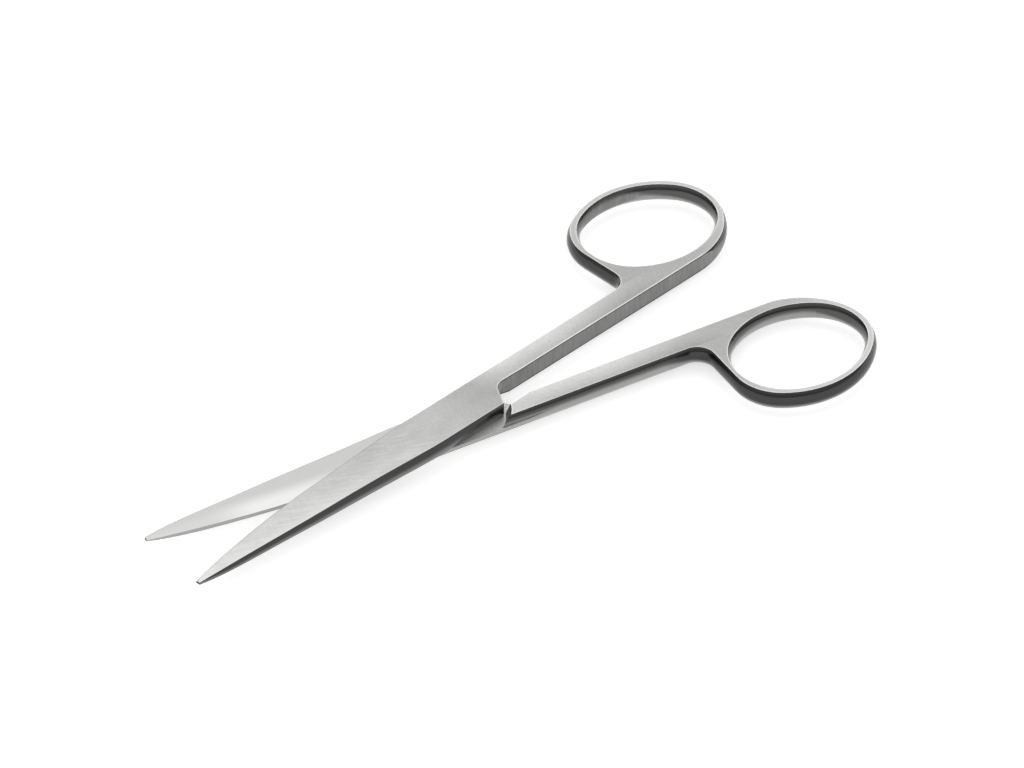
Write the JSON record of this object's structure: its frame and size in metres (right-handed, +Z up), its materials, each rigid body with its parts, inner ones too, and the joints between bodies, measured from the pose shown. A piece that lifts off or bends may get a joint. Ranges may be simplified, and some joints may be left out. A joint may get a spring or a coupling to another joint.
{
  "type": "dressing scissors",
  "caption": "Straight dressing scissors of bare steel: crossed halves with finger rings and blunt narrow points, turning on a joint screw.",
  "frame": {"origin": "on the axis of the joint screw, in the plane that the scissors lie on, which holds the face of the screw's head", "axes": "+X from the joint midway between the shanks towards the finger rings, blades along -X, +Z up along the joint's axis out of the upper half"},
  "size_m": [0.127, 0.0638, 0.0054],
  "materials": {
    "half_steel": "satin, glass-blasted and fine-ground",
    "screw_steel": "turned"
  },
  "bodies": {
    "lower_half": {"lower_half": "half_steel"},
    "upper_half": {"upper_half": "half_steel", "pivot_screw": "screw_steel"}
  },
  "joints": [
    {"name": "pivot", "type": "hinge", "parent": "lower_half", "child": "upper_half", "pos_m": [0, 0, 0.00269], "axis": [0, 0, 1], "range_deg": [-13.6, 70]}
  ]
}
